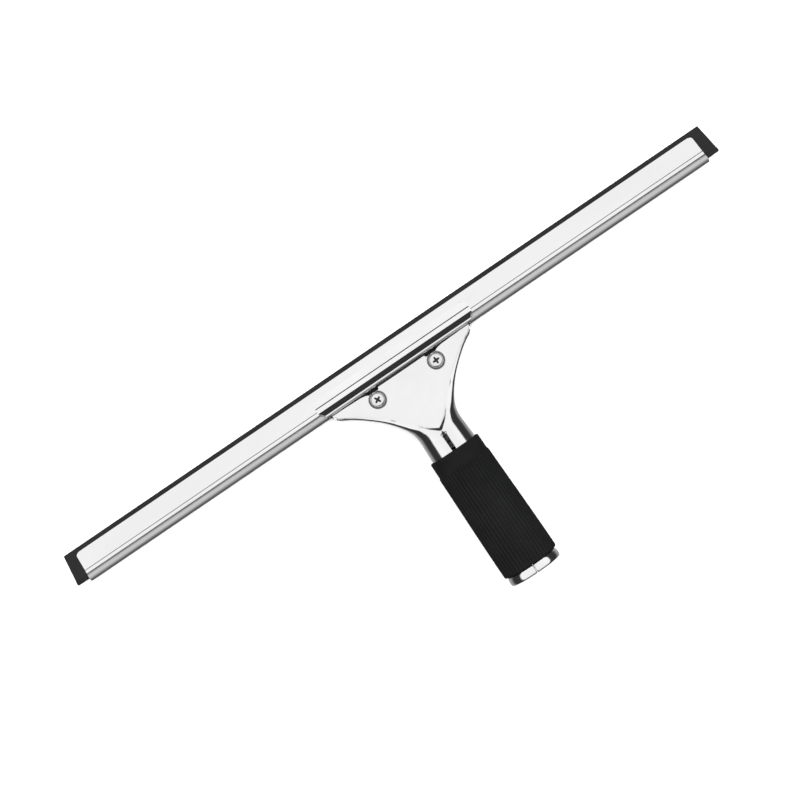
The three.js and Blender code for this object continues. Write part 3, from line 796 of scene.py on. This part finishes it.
def make_grip():
    """A smooth collar, then ribs that run along the grip, with the bore inside."""
    ribs, steps, rib_depth = 44, 12, 0.6
    start, rib_start, end = TIP_Y - GRIP_HIGH.y, 85.4, TIP_Y - GRIP_LOW.y
    widest, collar = (GRIP_HIGH.z - GRIP_LOW.z) / 2, 16.35
    outer = [
        [start, 15.7], [start + 0.25, 16.1], [start + 0.7, 16.32], [start + 1.5, collar],
        [rib_start - 0.5, collar], [rib_start, 16.5], [rib_start + 0.6, 16.85], [rib_start + 8, 16.97],
        [end - 1.4, widest], [end - 0.9, widest - 0.06], [end - 0.5, widest - 0.28],
        [end - 0.15, widest - 0.7], [end, widest - 1.05],
    ]
    reaches = np.concatenate([
        np.linspace(start, start + 1.6, 9), np.linspace(start + 2.2, rib_start - 0.8, 8),
        np.linspace(rib_start - 0.5, rib_start + 1.6, 12), np.linspace(rib_start + 3, end - 4, 24),
        np.linspace(end - 3, end - 1.2, 6), np.linspace(end - 1.05, end, 15),
    ])
    radii = monotone(outer, reaches)[:, 0]
    angles = whole_turn(ribs * steps)
    valley = (0.5 - 0.5 * np.cos(ribs * angles)) ** 1.6
    grid = []
    for reach, radius in zip(reaches, radii):
        depth = rib_depth * float(smoothstep((reach - rib_start - 0.1) / 1.2))
        depth *= 1 - 0.55 * float(smoothstep((reach - end + 1.6) / 1.6))
        grid.append(grip_ring(reach, radius - depth * valley, angles))
    bore = [
        [end, 15.75], [end - 0.6, 15.45], [130, 15.18], [100, 14.86], [start + 0.4, 14.6], [start, 14.8],
    ]
    for reach, radius in bore:
        grid.append(grip_ring(reach, np.full(len(angles), radius), angles))
    grip = grid_piece("ribbed_grip", grid, close_columns=True, close_rows=True)
    face_outwards(grip)
    shade(grip, 60, weighted=False)
    return finished(grip, "grip_sleeve", "handle", GRIP_RUBBER)


# ------------------------------------------------------------------ screws, washers and nuts

HEAD_HEIGHT = 2.6
HEAD_CURL = 1.3                 # radius of the head's rounded side
WING_LENGTH, WING_HALF = 2.05, 0.42
CROSS_TAPER = 2.2               # distance from the middle over which the cross gets shallower
THREAD_RADIUS, THREAD_DEPTH, THREAD_PITCH = 1.99, 0.3, 0.7
SHADE_AND_GRIME_FROM = 0.22               # depth in the cross at which the painted shade and dirt begin


def cross_depth(x, y, turn):
    """Depth of the cross recess at a place on the screw's head."""
    a = x * math.cos(turn) + y * math.sin(turn)
    b = -x * math.sin(turn) + y * math.cos(turn)
    a, b = sorted((abs(a), abs(b)), reverse=True)
    towards_middle = max(0.0, 1 - a / CROSS_TAPER)
    wing = WING_HALF + 0.1 * towards_middle
    root = 0.25 * max(0.0, 1.1 - a)
    inside = min((wing + root - b) / 0.16, (WING_LENGTH - a) / 0.2)
    deep = 0.5 + 1.2 * towards_middle
    return deep * float(smoothstep(0.5 + 0.5 * inside))


def crown_drop(radius):
    """How far the head's domed top falls away from its middle."""
    return 0.16 * (radius / 2.8) ** 2.2


def make_screw(name, node, turn):
    low, high = box_mm(node)
    centre = (low + high) / 2
    head_radius = (high.x - low.x) / 2
    seat, top, end = high.z - HEAD_HEIGHT, high.z, low.z
    segments = 192
    angles = whole_turn(segments)
    crown_radius = head_radius - HEAD_CURL
    radii = np.concatenate([np.linspace(0.05, 2.6, 58), np.linspace(2.65, crown_radius, 4)])
    grid = []
    for r in radii:
        crown = crown_drop(r)
        ring = []
        for a in angles:
            x, y = r * math.cos(a), r * math.sin(a)
            ring.append((x, y, top - crown - cross_depth(x, y, turn)))
        grid.append(ring)
    for t in np.linspace(0.12, math.pi / 2, 12):
        z = top - crown_drop(crown_radius) - (HEAD_CURL - HEAD_CURL * math.cos(t))
        grid.append(circle(crown_radius + HEAD_CURL * math.sin(t), z, angles))
    for r, z in [(head_radius, seat + 0.12), (head_radius - 0.12, seat), (2.2, seat), (2.0, seat - 0.2)]:
        grid.append(circle(r, z, angles))
    for z in np.linspace(seat - 0.4, end + 0.5, 90):
        fade = float(smoothstep((seat - 1.4 - z) / 0.8) * smoothstep((z - end - 0.3) / 0.5))
        ring = []
        for a in angles:
            groove = 0.5 + 0.5 * math.cos(2 * math.pi * (z / THREAD_PITCH) - a)
            r = THREAD_RADIUS - THREAD_DEPTH * fade * groove
            ring.append((r * math.cos(a), r * math.sin(a), z))
        grid.append(ring)
    for r, z in [(1.9, end + 0.35), (1.55, end), (0.05, end)]:
        grid.append(circle(r, z, angles))
    rows = len(grid)
    faces = grid_faces(rows, segments, close_columns=True)
    faces += [tuple(range(segments)), tuple(range((rows - 1) * segments, rows * segments))]
    screw = mesh_piece(name, np.array(grid).reshape(-1, 3), faces)
    face_outwards(screw)
    move_mesh(screw, centre.x, centre.y)
    shade(screw, 60, weighted=False)
    finished(screw, node, node, BRIGHT_ZINC)
    # The bottom of the cross gets the near-black material: painted shade with old dirt.
    screw.data.materials.append(SHADE_AND_GRIME)
    for face in screw.data.polygons:
        x, y, z = Vector(face.center) / MM
        off_axis = math.hypot(x - centre.x, y - centre.y)
        if off_axis < 2.3 and seat < z < top - crown_drop(off_axis) - SHADE_AND_GRIME_FROM:
            face.material_index = 1
    return screw


def make_washer(name, node):
    low, high = box_mm(node)
    centre, radius = (low + high) / 2, (high.x - low.x) / 2
    inner, soft = SCREW_HOLE, 0.18
    profile = [
        (inner, low.z + soft), (inner + soft, low.z), (radius - soft, low.z), (radius, low.z + soft),
        (radius, high.z - soft), (radius - 0.05, high.z - 0.06), (radius - soft, high.z),
        (inner + soft, high.z), (inner, high.z - soft),
    ]
    washer = turned(name, profile, 128)
    face_outwards(washer)
    move_mesh(washer, centre.x, centre.y)
    shade(washer, 35)
    # The washers take the dark steel: painted shade under the screw heads.
    return finished(washer, node, "handle", STEEL_AND_WASHER_SHADE)


def make_nut(name, node):
    low, high = box_mm(node)
    centre = (low + high) / 2
    apothem = (high.x - low.x) / 2
    sixth = math.pi / 3
    corner = apothem / math.cos(sixth / 2)
    angles = whole_turn(144)
    flats = [apothem / math.cos((a + sixth / 2) % sixth - sixth / 2) for a in angles + sixth / 2]
    chamfer = 0.42
    grid = []
    heights = [(low.z, 0), (low.z + chamfer / 2, 0.5), (low.z + chamfer, 1),
               (high.z - chamfer, 1), (high.z - chamfer / 2, 0.5), (high.z, 0)]
    for z, full in heights:
        limit = (apothem - 0.15) + (corner - apothem + 0.15) * full
        radii = [min(flat, limit) for flat in flats]
        grid.append([(r * math.cos(a), r * math.sin(a), z) for r, a in zip(radii, angles)])
    hole = SCREW_HOLE
    for z, r in [(high.z, hole + 0.3), (high.z - 0.3, hole), (low.z + 0.3, hole), (low.z, hole + 0.3)]:
        grid.append(circle(r, z, angles))
    nut = grid_piece(name, grid, close_columns=True, close_rows=True)
    face_outwards(nut)
    move_mesh(nut, centre.x, centre.y)
    shade(nut, 25)
    return finished(nut, node, "rear_jaw", BRIGHT_ZINC)


# ------------------------------------------------------------------ table, light and camera


def make_floor():
    half, z = 3000, -0.05
    corners = [(-half, -half, z), (half, -half, z), (half, half, z), (-half, half, z)]
    floor = mesh_piece("floor", corners, [(0, 1, 2, 3)])
    s = Shader("pale_table")
    s.set(Roughness=0.9)
    s.feed("Base Color", s.ramp(s.noise(3, 4, 0.5), (0.3, 0.90), (0.7, 0.92)))
    floor.data.materials.append(s.material)
    floor.visible_glossy = False


class Sky:
    """Arithmetic on world directions, for a soft light tent that the metal mirrors."""

    def __init__(self, world):
        self.nodes, self.links = world.node_tree.nodes, world.node_tree.links
        split = self.nodes.new("ShaderNodeSeparateXYZ")
        place = self.nodes.new("ShaderNodeTexCoord")
        self.links.new(place.outputs["Generated"], split.inputs["Vector"])
        self.y, self.z = split.outputs["Y"], split.outputs["Z"]

    def span(self, value, start, end, low, high):
        """Goes smoothly from low to high as the value goes from start to end."""
        node = self.nodes.new("ShaderNodeMapRange")
        node.interpolation_type = "SMOOTHSTEP"
        for name, number in (("From Min", start), ("From Max", end), ("To Min", low), ("To Max", high)):
            node.inputs[name].default_value = number
        self.links.new(value, node.inputs["Value"])
        return node.outputs["Result"]

    def maths(self, operation, a, b):
        node = self.nodes.new("ShaderNodeMath")
        node.operation = operation
        for socket, value in zip(node.inputs, (a, b)):
            if isinstance(value, (int, float)):
                socket.default_value = value
            else:
                self.links.new(value, socket)
        return node.outputs[0]


def make_surroundings():
    """White overhead, grey towards the grip and dark low down in the metal; plain white seen directly."""
    world = bpy.data.worlds.new("studio")
    bpy.context.scene.world = world
    world.use_nodes = True
    sky = Sky(world)
    overhead = sky.span(sky.z, 0.5, 0.99, 1.05, 1.0)
    band = sky.span(sky.z, 0.26, 0.36, 0.0, 1.0)
    towards_grip = sky.span(sky.y, -0.95, -0.25, 0.16, 1.0)
    bright = sky.maths("MULTIPLY", sky.maths("MULTIPLY", overhead, band), towards_grip)
    horizon = sky.span(sky.z, -0.9, -0.35, 0.42, 0.035)
    mirrored = sky.maths("ADD", bright, horizon)
    seen = sky.nodes.new("ShaderNodeLightPath").outputs["Is Camera Ray"]
    strength = sky.maths("ADD", sky.maths("MULTIPLY", mirrored, sky.maths("SUBTRACT", 1.0, seen)), seen)
    background = sky.nodes["Background"]
    background.inputs["Color"].default_value = (1, 1, 1, 1)
    sky.links.new(strength, background.inputs["Strength"])


def make_lamp(name, size, energy, place, target=(0, 0.02, 0.01)):
    data = bpy.data.lights.new(name, "AREA")
    data.shape = "RECTANGLE"
    data.size, data.size_y = size
    data.energy = energy
    lamp = bpy.data.objects.new(name, data)
    bpy.context.scene.collection.objects.link(lamp)
    lamp.location = place
    lamp.rotation_euler = (Vector(target) - Vector(place)).to_track_quat("-Z", "Y").to_euler()
    lamp.visible_glossy = False
    return lamp


def make_camera():
    """Straight above, turned so that the blade runs up to the right; metres."""
    distance, field, turn = 1.4, 0.4648, math.radians(34.195)
    data = bpy.data.cameras.new("camera")
    data.sensor_width = 36
    data.lens = data.sensor_width * distance / field
    data.clip_start, data.clip_end = 0.05, 20
    camera = bpy.data.objects.new("camera", data)
    bpy.context.scene.collection.objects.link(camera)
    camera.location = (-0.0098, TIP_Y * MM - 0.03461, distance + 0.008)
    camera.rotation_euler = (0, 0, -turn)
    bpy.context.scene.camera = camera


make_camera()
make_surroundings()
make_floor()
make_lamp("overhead", (1.6, 1.6), 60, (0.1, 0.2, 1.8))

make_handle()
make_front_jaw()
make_rear_jaw()
make_channel()
make_rubber()
make_clip("left_clip", "left_end_clip")
make_clip("right_clip", "right_end_clip")
make_grip()
make_screw("left_pan_screw", "left_screw", math.radians(28))
make_screw("right_pan_screw", "right_screw", math.radians(4))
make_washer("left_flat_washer", "left_washer")
make_washer("right_flat_washer", "right_washer")
make_nut("left_hex_nut", "left_nut")
make_nut("right_hex_nut", "right_nut")

bpy.context.scene.view_settings.view_transform = "Standard"

bpy.context.view_layer.update()
